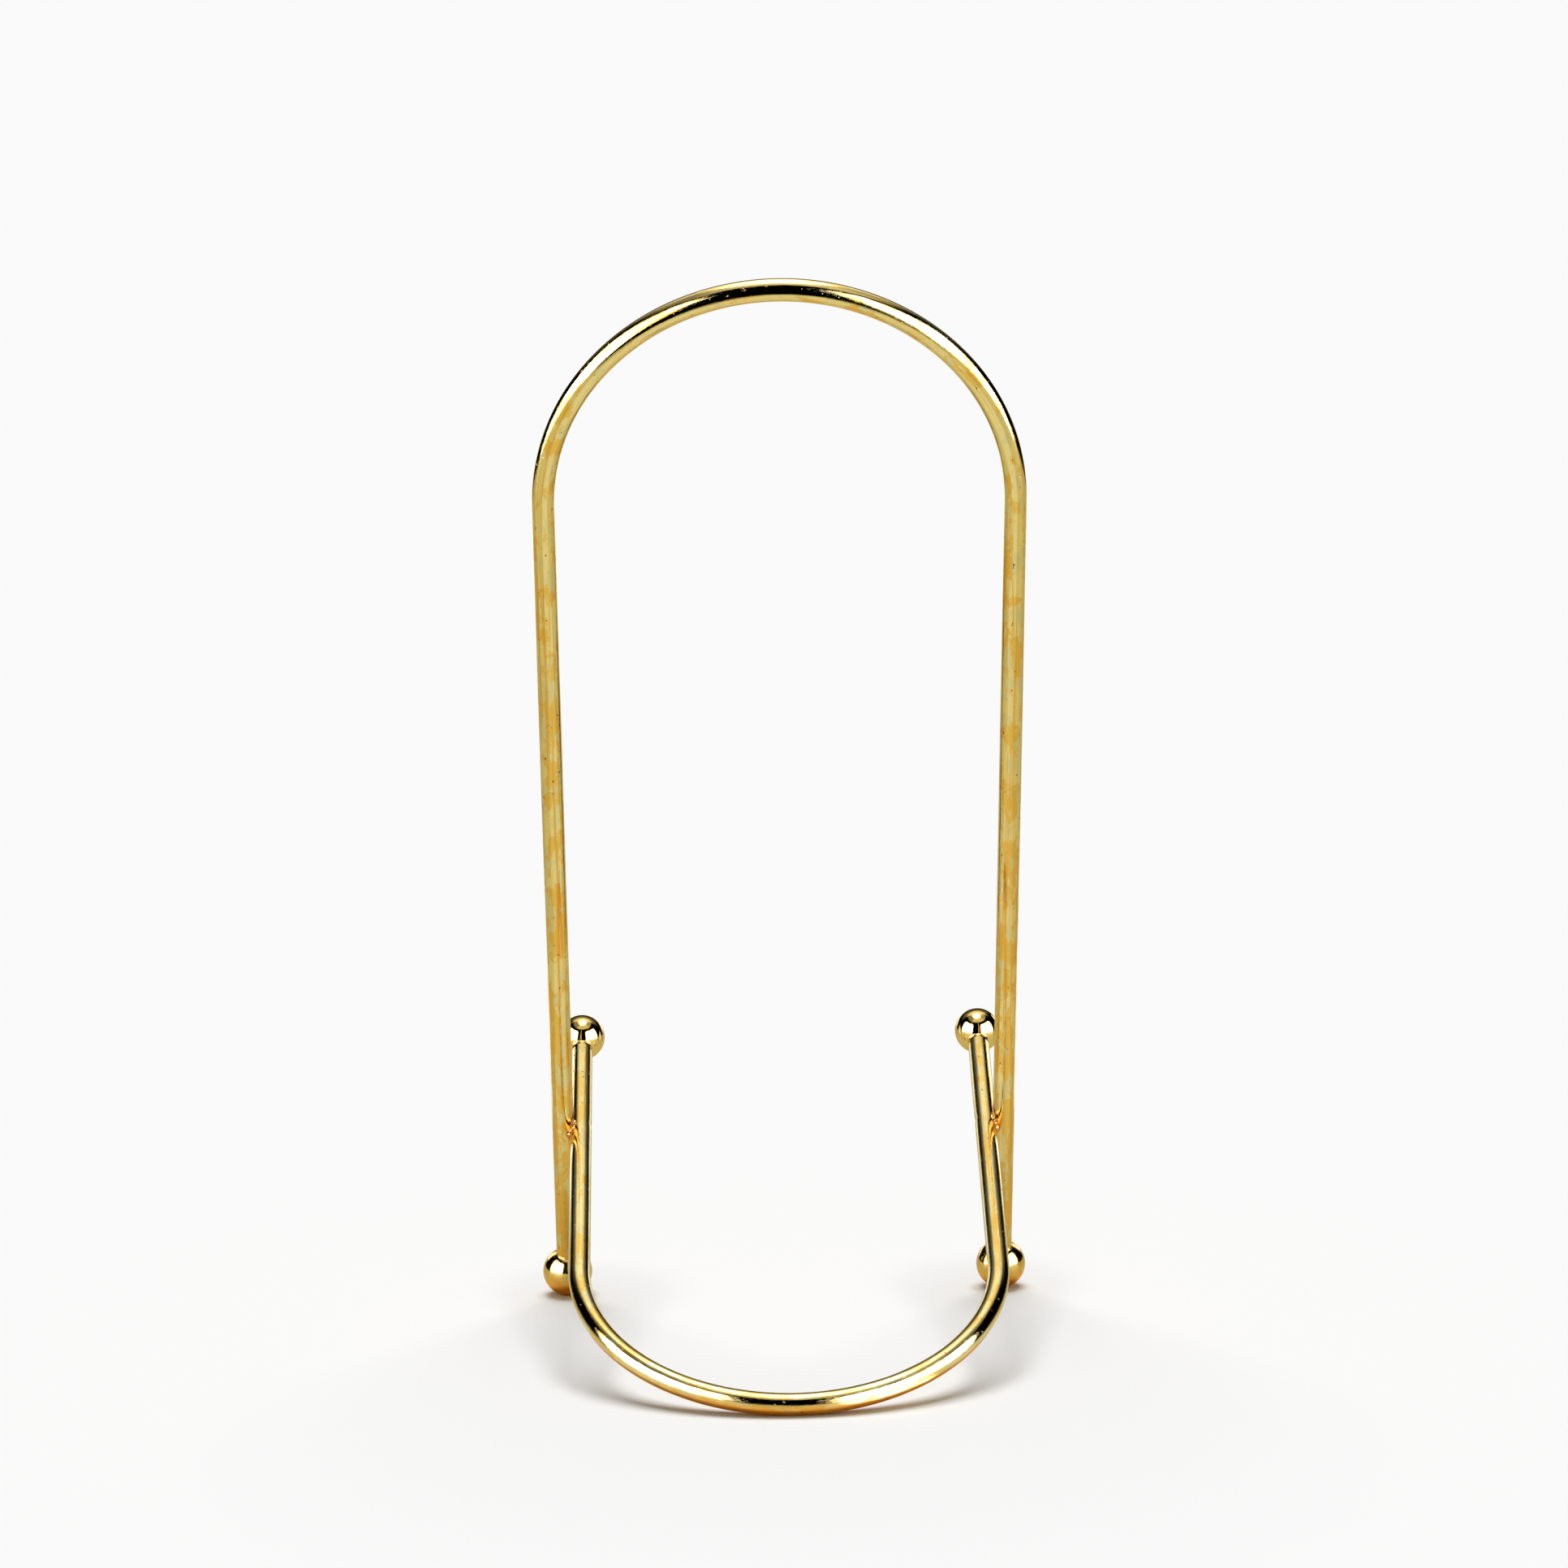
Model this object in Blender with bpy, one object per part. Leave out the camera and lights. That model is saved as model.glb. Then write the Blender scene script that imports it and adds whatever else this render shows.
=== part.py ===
"""Tabletop display easel made of two U-bent rods that cross in an X when seen from the side.

The tall back hoop stands on two ball feet and leans towards -Y. The short prop hoop is welded inside
it. Its closed end rests on the table on the -Y side, and its open ends rise on the +Y side as two
ball-tipped prongs. A displayed item stands on the prongs and leans on the back hoop, facing +Y.

The origin is on the table, below the middle of the object's box. +X is across, +Z is up.
"""
import math

import bmesh
import bpy
from mathutils import Matrix, Vector

# Driving dimensions, in metres and degrees.
ROD_D = 0.006            # both hoops are bent from this round rod
FOOT_BALL_D = 0.014      # balls that the back hoop stands on
PRONG_BALL_D = 0.013     # balls at the ends of the prongs
BACK_SPAN = 0.124        # back hoop, centre to centre of its legs
BACK_LEG = 0.249         # foot ball's centre to the start of the arch
BACK_LEAN = 22.0         # back hoop from vertical, towards -Y
CROSS_HEIGHT = 0.049     # foot ball's centre to the crossing, along the leg
WELD_SINK = 0.001        # how far the rods are pressed into each other at a crossing
PRONG_LENGTH = 0.044     # crossing to the prong ball's centre
PROP_LEG = 0.063         # crossing to the start of the prop hoop's arc
FOOT_FLAT_D = 0.0032     # contact flat under each foot ball
GAP = 0.0003             # clearance between neighbouring solids

# Details of the joints.
SOCKET_DEPTH = 0.0065    # how far a rod goes into its ball
ROD_END_CHAMFER = 0.0005
FILLET_REACH = 0.0013    # fillet ring, along the ball from the rod
FILLET_RISE = 0.0012     # fillet ring, along the rod from the ball
WELD_THICKNESS = 0.0044  # weld bead across X, between the rods
WELD_WIDTH = 0.0084      # weld bead across the crossing

# Worked out from the sizes above.
ROD_R = ROD_D / 2
LEAN = math.radians(BACK_LEAN)
UP_BACK = Vector((0, -math.sin(LEAN), math.cos(LEAN)))
FOOT_R = FOOT_BALL_D / 2
PRONG_R = PRONG_BALL_D / 2
FOOT_Z = math.sqrt(FOOT_R ** 2 - (FOOT_FLAT_D / 2) ** 2)
PROP_SPAN = BACK_SPAN - 2 * (ROD_D - WELD_SINK)
PROP_REACH = PROP_LEG + PROP_SPAN / 2
CROSS_ABOVE_FOOT = CROSS_HEIGHT * UP_BACK
TILT = math.asin((FOOT_Z + CROSS_ABOVE_FOOT.z - ROD_R) / PROP_REACH)
DOWN_PROP = Vector((0, -math.cos(TILT), -math.sin(TILT)))
BACK_END_Y = CROSS_ABOVE_FOOT.y - PRONG_LENGTH * DOWN_PROP.y + PRONG_R
PROP_END_Y = CROSS_ABOVE_FOOT.y + PROP_REACH * DOWN_PROP.y - ROD_R
FOOT_Y = -(BACK_END_Y + PROP_END_Y) / 2
FOOT = Vector((BACK_SPAN / 2, FOOT_Y, FOOT_Z))
CROSS = Vector((0, FOOT_Y, FOOT_Z)) + CROSS_ABOVE_FOOT
PRONG = Vector((PROP_SPAN / 2, 0, 0)) + CROSS - PRONG_LENGTH * DOWN_PROP
SIDES = {"left": -1, "right": 1}

# How finely round shapes are divided.
ROD_SIDES = 20
BALL_SIDES = 28
BALL_RINGS = 13
ARCH_STEPS = 36
LEG_STEP = 0.025
SMOOTH_ANGLE = math.radians(35)


def clear_scene():
    for obj in list(bpy.data.objects):
        bpy.data.objects.remove(obj, do_unlink=True)


def gold(name, colour, roughness):
    material = bpy.data.materials.new(name)
    material.use_nodes = True
    shader = material.node_tree.nodes["Principled BSDF"]
    shader.inputs["Base Color"].default_value = (*colour, 1)
    shader.inputs["Metallic"].default_value = 1
    shader.inputs["Roughness"].default_value = roughness
    return material


def make_object(name, mesh_maker, material=None):
    """Turn the bmesh that mesh_maker fills into a smooth-shaded object."""
    mesh = bpy.data.meshes.new(name)
    bm = bmesh.new()
    mesh_maker(bm)
    bmesh.ops.recalc_face_normals(bm, faces=bm.faces)
    bm.to_mesh(mesh)
    bm.free()
    mesh.shade_smooth()
    mesh.set_sharp_from_angle(angle=SMOOTH_ANGLE)
    if material:
        mesh.materials.append(material)
    obj = bpy.data.objects.new(name, mesh)
    bpy.context.collection.objects.link(obj)
    return obj


def make_cutter(name, mesh_maker, targets):
    """Subtract a hidden shape from each target with a Boolean modifier."""
    cutter = make_object(name, mesh_maker)
    cutter.hide_render = True
    cutter.display_type = "WIRE"
    for target in targets:
        cut = target.modifiers.new(name, "BOOLEAN")
        cut.operation = "DIFFERENCE"
        cut.solver = "EXACT"
        cut.object = cutter


def ring(bm, centre, across, along, radius, sides):
    """Add one circle of vertices round centre, in the plane of the two unit vectors."""
    verts = []
    for i in range(sides):
        turn = 2 * math.pi * i / sides
        spoke = across * math.cos(turn) + along * math.sin(turn)
        verts.append(bm.verts.new(centre + radius * spoke))
    return verts


def bridge(bm, lower, upper):
    count = len(lower)
    for i in range(count):
        j = (i + 1) % count
        bm.faces.new((lower[i], lower[j], upper[j], upper[i]))


def axis_frame(axis):
    """Two unit vectors square to an axis that lies in a plane of constant X."""
    across = Vector((1, 0, 0))
    return across, axis.cross(across).normalized()


def hoop_path(leg_base, leg_dir, leg_length, radius):
    """Centre line of a U: up one leg, round a half circle, down the other, with its tangents."""
    points = []
    steps = max(1, round(leg_length / LEG_STEP))
    start = Vector((0, leg_base.y, leg_base.z))
    for i in range(steps):
        spot = start + leg_dir * leg_length * i / steps
        points.append((spot - Vector((radius, 0, 0)), leg_dir))
    middle = start + leg_dir * leg_length
    for i in range(ARCH_STEPS + 1):
        turn = math.pi * i / ARCH_STEPS
        outward = Vector((-math.cos(turn), 0, 0)) + leg_dir * math.sin(turn)
        tangent = Vector((math.sin(turn), 0, 0)) + leg_dir * math.cos(turn)
        points.append((middle + radius * outward, tangent))
    for i in reversed(range(steps)):
        spot = start + leg_dir * leg_length * i / steps
        points.append((spot + Vector((radius, 0, 0)), -leg_dir))
    return points


def sweep_rod(path, plane_normal):
    """Return a mesh maker for a round rod along path, with a chamfer at each end."""
    def fill(bm):
        stations = [(point, tangent, ROD_R) for point, tangent in path]
        first, last = stations[0], stations[-1]
        tip = ROD_R - ROD_END_CHAMFER
        stations[0] = (first[0] + first[1] * ROD_END_CHAMFER, first[1], ROD_R)
        stations[-1] = (last[0] - last[1] * ROD_END_CHAMFER, last[1], ROD_R)
        stations.insert(0, (first[0], first[1], tip))
        stations.append((last[0], last[1], tip))
        rings = []
        for point, tangent, radius in stations:
            side = tangent.cross(plane_normal).normalized()
            rings.append(ring(bm, point, side, plane_normal, radius, ROD_SIDES))
        for lower, upper in zip(rings, rings[1:]):
            bridge(bm, lower, upper)
        bm.faces.new(rings[0])
        bm.faces.new(rings[-1])
    return fill


def turned(profile, centre, axis, sides=BALL_SIDES):
    """Return a mesh maker that turns (radius, height) points about axis through centre.

    A point with radius 0 closes the shape with a fan. A profile with no such point is a closed loop
    and makes a ring.
    """
    def fill(bm):
        across, along = axis_frame(axis)
        rings = []
        for radius, height in profile:
            spot = centre + axis * height
            if radius == 0:
                rings.append([bm.verts.new(spot)])
            else:
                rings.append(ring(bm, spot, across, along, radius, sides))
        pairs = list(zip(rings, rings[1:]))
        if all(len(verts) > 1 for verts in rings):
            pairs.append((rings[-1], rings[0]))
        for lower, upper in pairs:
            if len(lower) == 1:
                join_pole(bm, lower[0], upper)
            elif len(upper) == 1:
                join_pole(bm, upper[0], lower)
            else:
                bridge(bm, lower, upper)
    return fill


def join_pole(bm, pole, verts):
    for i in range(len(verts)):
        bm.faces.new((pole, verts[i], verts[(i + 1) % len(verts)]))


def ball_profile(radius):
    """A ball with a blind socket for the rod's end at the top of its axis."""
    bore = ROD_R + GAP
    mouth = math.asin(bore / radius)
    floor = radius * math.cos(mouth) - SOCKET_DEPTH
    points = [(0, floor), (bore, floor)]
    for i in range(BALL_RINGS):
        turn = mouth + (math.pi - mouth) * i / BALL_RINGS
        points.append((radius * math.sin(turn), radius * math.cos(turn)))
    points.append((0, -radius))
    return points


def fillet_profile(radius):
    """A concave ring between the rod and the ball's skin, clear of both."""
    skin = radius + GAP
    inner = ROD_R + GAP
    outer = inner + FILLET_REACH
    base = math.sqrt(skin ** 2 - inner ** 2)
    rim = math.sqrt(skin ** 2 - outer ** 2)
    lip = GAP
    return [
        (inner, base),
        (outer, rim),
        (outer, rim + lip),
        (inner + FILLET_REACH * 0.5, base + FILLET_RISE * 0.25),
        (inner + lip, base + FILLET_RISE),
        (inner, base + FILLET_RISE),
    ]


def flatten_base(obj):
    """Cut off what is below the table, which leaves a small contact flat."""
    bm = bmesh.new()
    bm.from_mesh(obj.data)
    everything = bm.verts[:] + bm.edges[:] + bm.faces[:]
    cut = bmesh.ops.bisect_plane(bm, geom=everything, plane_co=(0, 0, 0), plane_no=(0, 0, -1),
                                 clear_outer=True)
    rim = [item for item in cut["geom_cut"] if isinstance(item, bmesh.types.BMEdge)]
    bmesh.ops.holes_fill(bm, edges=rim)
    bmesh.ops.recalc_face_normals(bm, faces=bm.faces)
    bm.to_mesh(obj.data)
    bm.free()
    obj.data.set_sharp_from_angle(angle=SMOOTH_ANGLE)


def rod_start(ball_radius):
    """Distance from a ball's centre to the end of the rod inside it."""
    mouth = math.sqrt(ball_radius ** 2 - (ROD_R + GAP) ** 2)
    return mouth - SOCKET_DEPTH + GAP


def build_back_hoop(material):
    start = rod_start(FOOT_R)
    path = hoop_path(FOOT + UP_BACK * start, UP_BACK, BACK_LEG - start, BACK_SPAN / 2)
    plane_normal = UP_BACK.cross(Vector((1, 0, 0)))
    return make_object("back_hoop", sweep_rod(path, plane_normal), material)


def build_prop_hoop(material):
    start = rod_start(PRONG_R)
    leg = PRONG_LENGTH + PROP_LEG - start
    path = hoop_path(PRONG + DOWN_PROP * start, DOWN_PROP, leg, PROP_SPAN / 2)
    plane_normal = DOWN_PROP.cross(Vector((1, 0, 0)))
    return make_object("prop_hoop", sweep_rod(path, plane_normal), material)


def build_balls(side, sign, foot_material, prong_material, joint_material):
    foot = Vector((sign * FOOT.x, FOOT.y, FOOT.z))
    prong = Vector((sign * PRONG.x, PRONG.y, PRONG.z))
    foot_ball = make_object(side + "_foot_ball", turned(ball_profile(FOOT_R), foot, UP_BACK),
                            foot_material)
    flatten_base(foot_ball)
    make_object(side + "_prong_ball", turned(ball_profile(PRONG_R), prong, DOWN_PROP),
                prong_material)
    make_object(side + "_foot_fillet", turned(fillet_profile(FOOT_R), foot, UP_BACK),
                joint_material)
    make_object(side + "_prong_fillet", turned(fillet_profile(PRONG_R), prong, DOWN_PROP),
                joint_material)


def clearance_rod(spot, direction):
    """A stretch of rod through spot, thicker by the gap, that cuts room for a neighbour."""
    radius = ROD_R + GAP
    reach = WELD_WIDTH * 1.5
    return turned([(0, -reach), (radius, -reach), (radius, reach), (0, reach)], spot, direction)


def build_crossing(side, sign, back_hoop, joint_material):
    """The weld bead, and the saddle that the prop hoop is pressed into."""
    middle = (BACK_SPAN + PROP_SPAN) / 4
    spot = Vector((sign * middle, CROSS.y, CROSS.z))
    half = Vector((WELD_THICKNESS / 2, WELD_WIDTH / 2, WELD_WIDTH / 2))

    def bead(bm):
        bmesh.ops.create_icosphere(bm, subdivisions=4, radius=1)
        bmesh.ops.transform(bm, matrix=Matrix.LocRotScale(spot, None, half), verts=bm.verts)

    weld = make_object(side + "_cross_weld", bead, joint_material)
    inside = Vector((sign * PROP_SPAN / 2, CROSS.y, CROSS.z))
    outside = Vector((sign * BACK_SPAN / 2, CROSS.y, CROSS.z))
    make_cutter(side + "_prop_clearance", clearance_rod(inside, DOWN_PROP), [back_hoop, weld])
    make_cutter(side + "_back_clearance", clearance_rod(outside, UP_BACK), [weld])


def main():
    clear_scene()
    back_gold = gold("back_hoop_gold", (0.80, 0.58, 0.22), 0.14)
    prop_gold = gold("prop_hoop_gold", (0.84, 0.66, 0.30), 0.10)
    foot_gold = gold("foot_ball_gold", (0.80, 0.56, 0.22), 0.06)
    prong_gold = gold("prong_ball_gold", (0.82, 0.64, 0.30), 0.06)
    joint_gold = gold("joint_gold", (0.72, 0.42, 0.14), 0.25)
    back_hoop = build_back_hoop(back_gold)
    build_prop_hoop(prop_gold)
    for side, sign in SIDES.items():
        build_balls(side, sign, foot_gold, prong_gold, joint_gold)
        build_crossing(side, sign, back_hoop, joint_gold)


main()
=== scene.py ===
"""Looks of the gold display easel: fine meshes, polished gold and a small product studio.

The frame is the CAD model's: metres, +Z up, origin on the table. The tall back hoop leans
towards -Y, where the camera stands, and the prongs are on the +Y side.
"""
import math

import bpy
import numpy as np
from mathutils import Matrix, Vector, noise


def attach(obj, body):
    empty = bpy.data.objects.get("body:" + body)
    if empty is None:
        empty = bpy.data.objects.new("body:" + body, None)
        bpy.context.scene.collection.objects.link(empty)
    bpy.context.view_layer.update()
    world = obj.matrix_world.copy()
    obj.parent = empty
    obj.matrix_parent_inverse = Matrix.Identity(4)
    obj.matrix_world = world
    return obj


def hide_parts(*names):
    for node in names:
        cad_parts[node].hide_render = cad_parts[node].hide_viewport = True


# The CAD model's driving dimensions, in metres and degrees.
ROD_D = 0.006
FOOT_BALL_D = 0.014
PRONG_BALL_D = 0.013
BACK_SPAN = 0.124
BACK_LEG = 0.249
BACK_LEAN = 22.0
CROSS_HEIGHT = 0.049
WELD_SINK = 0.001
PRONG_LENGTH = 0.044
PROP_LEG = 0.063
FOOT_FLAT_D = 0.0032

# Worked out from them.
ROD_R = ROD_D / 2
FOOT_R = FOOT_BALL_D / 2
PRONG_R = PRONG_BALL_D / 2
LEAN = math.radians(BACK_LEAN)
UP_BACK = Vector((0, -math.sin(LEAN), math.cos(LEAN)))
FOOT_Z = math.sqrt(FOOT_R ** 2 - (FOOT_FLAT_D / 2) ** 2)
PROP_SPAN = BACK_SPAN - 2 * (ROD_D - WELD_SINK)
PROP_REACH = PROP_LEG + PROP_SPAN / 2
CROSS_ABOVE_FOOT = CROSS_HEIGHT * UP_BACK
TILT = math.asin((FOOT_Z + CROSS_ABOVE_FOOT.z - ROD_R) / PROP_REACH)
DOWN_PROP = Vector((0, -math.cos(TILT), -math.sin(TILT)))
BACK_END_Y = CROSS_ABOVE_FOOT.y - PRONG_LENGTH * DOWN_PROP.y + PRONG_R
PROP_END_Y = CROSS_ABOVE_FOOT.y + PROP_REACH * DOWN_PROP.y - ROD_R
FOOT = Vector((BACK_SPAN / 2, -(BACK_END_Y + PROP_END_Y) / 2, FOOT_Z))
CROSS = Vector((0, FOOT.y, FOOT_Z)) + CROSS_ABOVE_FOOT
PRONG = Vector((PROP_SPAN / 2, 0, 0)) + CROSS - PRONG_LENGTH * DOWN_PROP
SIDES = {"left": -1, "right": 1}
ACROSS = Vector((1, 0, 0))

# Fineness of the visual meshes.
ROD_SIDES = 64
ROD_STEP = 0.0012
BALL_SIDES = 96
BALL_RINGS = 64
COLLAR_SIDES = 72
COLLAR_STEPS = 12
WELD_SIDES = 32
WELD_STEPS = 120

# Each visible rod starts this deep under the skin of its balls.
ROD_BURIED = 0.0030
BACK_START = FOOT_R - ROD_BURIED
PROP_START = PRONG_R - ROD_BURIED

# Hand-bent, barrel-polished rod: how far its skin strays from a true cylinder.
WAVE_HEIGHT = 0.000012
WAVE_LENGTH = 0.011
WAVE_ROUND = 1.3
BACK_WAVE_SEED = 3.0
PROP_WAVE_SEED = 11.0

# Shallow press mark on the inner side of each prop leg, just above the crossing.
MARK_RISE = 0.0015
MARK_DEPTH = 0.00022
MARK_LENGTH = 0.0009
MARK_WIDTH = 0.0016

# Ring of joining metal between rod and ball: how far it reaches out and up from their skins, how its
# hidden edges are set into them, and its ripples.
COLLAR_REACH = 0.0003
COLLAR_RISE = 0.0004
COLLAR_INSET = 0.0004
COLLAR_ROOT = 0.0008
COLLAR_TUCK = 0.0002
COLLAR_LIP = 0.00005
COLLAR_LIFT = 0.00001
COLLAR_CLOSE = 0.0001
RIPPLE_HEIGHT = 0.00012
RIPPLE_FROM = 0.0002
RIPPLE_ROUND = 1.5
RIPPLE_UP = 700

# Weld bead: its half thickness, and the height, fineness and turn of its coarse and fine lumps.
WELD_FAT = 0.00078
WELD_LUMPS = ((0.00060, 1.2, 0.6), (0.00018, 2.7, 1.6))
WELD_SEED = 11.0

# Painted reflection of the other rod: an orange-brown tint on the side of each rod that faces the other,
# beside the welded crossings.
ROD_REFLECTION_REACH = 0.012
ROD_REFLECTION_TONE = (0.78, 0.42, 0.12)

# Tones of the gold: bright and deep, and on the rods the olive of the cloudy patches.
BACK_TONES = ((0.89, 0.74, 0.34), (0.85, 0.55, 0.13), (0.77, 0.69, 0.37))
PROP_TONES = ((0.87, 0.77, 0.42), (0.84, 0.61, 0.20), (0.76, 0.69, 0.41))
FOOT_TONES = ((0.87, 0.64, 0.24), (0.82, 0.52, 0.14))
PRONG_TONES = ((0.88, 0.68, 0.27), (0.84, 0.60, 0.20))
JOINT_TONES = ((0.90, 0.60, 0.22), (0.66, 0.32, 0.09))
PIT_TONE = (0.34, 0.17, 0.05)
STREAK_SHADE = (0.94, 0.84, 0.66)
# How far the deep tone spreads down the back hoop's legs: painted reflection of the nearer table.
BACK_LOW_REFLECTION = 0.22
ROD_ROUGHNESS = 0.02
FOOT_ROUGHNESS = 0.10
PRONG_ROUGHNESS = 0.03
HAZE = 0.05

# Camera.
CAMERA_TARGET = Vector((0.0018, 0.0513, 0.1470))
CAMERA_DISTANCE = 1.5314
CAMERA_ELEVATION = 9.59
CAMERA_YAW = 1.003
CAMERA_ROLL = -0.79
CAMERA_LENS = 124.64
CAMERA_SENSOR = 36.0

# The room that the metal mirrors. A softbox is the azimuth and elevation of its middle, its half
# width, its rise above the middle and its drop below it, in degrees.
SHELL_RADIUS = 1.3
SHELL_MIDDLE = Vector((0, 0, 0.10))
SHELL_ROWS = 120
SHELL_COLUMNS = 240
SECOND_REFLECTION = 0.35
RIGHT_SOFTBOX = (54, 8, 34, 33, 34)
LEFT_SOFTBOX = (-60, 10, 33, 32, 30)
SOFTBOX_LIGHT = 6.5
SQUARE_END = 7
ROUND_END = 2.2
CORE_LIGHT = 5.0
CORE_TONE = Vector((1, 0.99, 0.96))
CORE_TILT = 6
CORE_HALF_DEPTH = 17
CORE_HALF_WIDTH = 14
CLOTH_TONE = Vector((1, 0.93, 0.70))
FRONT_CLOTH = 0.40
LEFT_CLOTH_LESS = 0.12
CAMERA_CLOTH_MORE = 0.40
LOW_BACK_CLOTH = 0.17
HIGH_BACK_CLOTH = 0.92
BACKDROP_TONE = Vector((1, 1, 0.98))
BACKDROP_LIGHT = 1.3

# The table that the metal mirrors. Its gold part, painted bounce light and shade from the easel, and its
# glare follow the prop's closed end.
TABLE_PALE = Vector((0.77, 0.75, 0.57))
TABLE_WARM = Vector((0.60, 0.54, 0.31))
TABLE_PAINTED_BOUNCE = Vector((0.84, 0.44, 0.10))
TABLE_Z = -0.0002
TABLE_OUTLINE = [(-1.1, -0.98), (-0.53, -0.70), (0.0, -0.37), (0.22, -0.52), (0.60, -0.90),
                 (1.1, -0.98), (1.1, 1.2), (-1.1, 1.2)]
TABLE_SPECULAR = 0.15
ARC_Y = CROSS.y + PROP_LEG * DOWN_PROP.y
ARC_HALF_WIDTH = PROP_SPAN / 2
ARC_HALF_DEPTH = PROP_SPAN / 2 * math.cos(TILT)
ARC_RADIUS = 0.055
ARC_BOUNCE_WIDTH = 0.010
FOOT_BOUNCE_WIDTH = 0.012
PATCH_Z = -0.0001
PATCH_Y = -0.03
PATCH_REACH = 0.30
PATCH_RINGS = 150
PATCH_COLUMNS = 200
PATCH_CROWDING = 1.3
GLARE_LIGHT = 2.2
GLARE_SEEN = (0.05, 0.08)

# Small panels beyond both sides of the easel: distance out, foot, (y, z) of the top, strip above it.
PANEL_X = 0.12
PANEL_FOOT_Z = 0.026
PANEL_TOP = [(0.100, 0.078), (0.138, 0.112), (0.160, 0.122)]
PANEL_LIGHT = 1.6
PANEL_SEEN = (0.17, 0.20)
STRIP_HEIGHT = 0.050
STRIP_LIGHT = 0.004

# What the camera sees round the easel, and what lights the pale floor.
STAGE_SIDES = 64
STAGE_REACH = 10.0
FLOOR_TONE = (0.90, 0.90, 0.90)
SWEEP_FOOT_Z = -0.01
SWEEP_LIGHT = 0.954
OVERHEAD_LIGHT = 2.7
OVERHEAD_SPREAD = 42
WORLD_LIGHT = 0.22


# ---------------------------------------------------------------- meshes

def add_piece(name, verts, faces, surface_space, node, material):
    """Link a smooth mesh that rides on the body and stands for one CAD node."""
    mesh = bpy.data.meshes.new(name)
    mesh.from_pydata([tuple(v) for v in verts], [], faces)
    attribute = mesh.attributes.new("surface_space", "FLOAT_VECTOR", "POINT")
    attribute.data.foreach_set("vector", np.asarray(surface_space, np.float32).ravel())
    mesh.shade_smooth()
    mesh.materials.append(material)
    mesh.update()
    obj = bpy.data.objects.new(name, mesh)
    bpy.context.scene.collection.objects.link(obj)
    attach(obj, "root")
    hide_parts(node)


def grid_faces(rows, columns):
    """Quads of a grid that closes on itself round its columns."""
    faces = []
    for i in range(rows - 1):
        for j in range(columns):
            k = (j + 1) % columns
            faces.append((i * columns + j, i * columns + k,
                          (i + 1) * columns + k, (i + 1) * columns + j))
    return faces


def closing_faces(rows, columns):
    """Quads that join a grid's last row to its first."""
    last = (rows - 1) * columns
    return [(last + j, last + (j + 1) % columns, (j + 1) % columns, j) for j in range(columns)]


def hoop_line(base, leg_dir, leg_length, radius):
    """Points, tangents and distances along a U: up one leg, round the arch, down the other."""
    leg_steps = round(leg_length / ROD_STEP)
    arch_steps = round(math.pi * radius / ROD_STEP)
    points, tangents = [], []
    start = Vector((0, base.y, base.z))
    for i in range(leg_steps):
        points.append(start + leg_dir * leg_length * i / leg_steps - ACROSS * radius)
        tangents.append(leg_dir)
    middle = start + leg_dir * leg_length
    for i in range(arch_steps + 1):
        turn = math.pi * i / arch_steps
        points.append(middle + radius * (leg_dir * math.sin(turn) - ACROSS * math.cos(turn)))
        tangents.append(leg_dir * math.cos(turn) + ACROSS * math.sin(turn))
    for i in reversed(range(leg_steps)):
        points.append(start + leg_dir * leg_length * i / leg_steps + ACROSS * radius)
        tangents.append(-leg_dir)
    along = [0.0]
    for a, b in zip(points, points[1:]):
        along.append(along[-1] + (b - a).length)
    return points, tangents, along


def skin_wave(along, turn, seed):
    """Height of the slow waves in a rod's skin."""
    spot = Vector((along / WAVE_LENGTH, WAVE_ROUND * math.cos(turn), WAVE_ROUND * math.sin(turn) + seed))
    return WAVE_HEIGHT * noise.noise(spot)


def press_mark(along, turn, at):
    """Depth of the press mark that lies at a distance along the rod, on the inner side of its hoop."""
    off = turn % (2 * math.pi) - math.pi
    return MARK_DEPTH * math.exp(-((along - at) / MARK_LENGTH) ** 2 - (off * ROD_R / MARK_WIDTH) ** 2)


def build_rod(name, line, plane_normal, marks, seed, node, material):
    """A round rod along a hoop line, with waves in its skin and press marks at some distances."""
    points, tangents, along = line
    verts, space = [], []
    for point, tangent, distance in zip(points, tangents, along):
        side = tangent.cross(plane_normal).normalized()
        near = [at for at in marks if abs(distance - at) < 4 * MARK_LENGTH]
        for i in range(ROD_SIDES):
            turn = 2 * math.pi * i / ROD_SIDES
            radius = ROD_R + skin_wave(distance, turn, seed)
            radius -= sum(press_mark(distance, turn, at) for at in near)
            spoke = side * math.cos(turn) + plane_normal * math.sin(turn)
            verts.append(point + radius * spoke)
            space.append((distance, ROD_R * math.cos(turn), ROD_R * math.sin(turn)))
    faces = grid_faces(len(points), ROD_SIDES)
    faces.append(tuple(reversed(range(ROD_SIDES))))
    last = (len(points) - 1) * ROD_SIDES
    faces.append(tuple(last + i for i in range(ROD_SIDES)))
    faces = [tuple(reversed(f)) for f in faces]
    add_piece(name, verts, faces, space, node, material)


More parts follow.
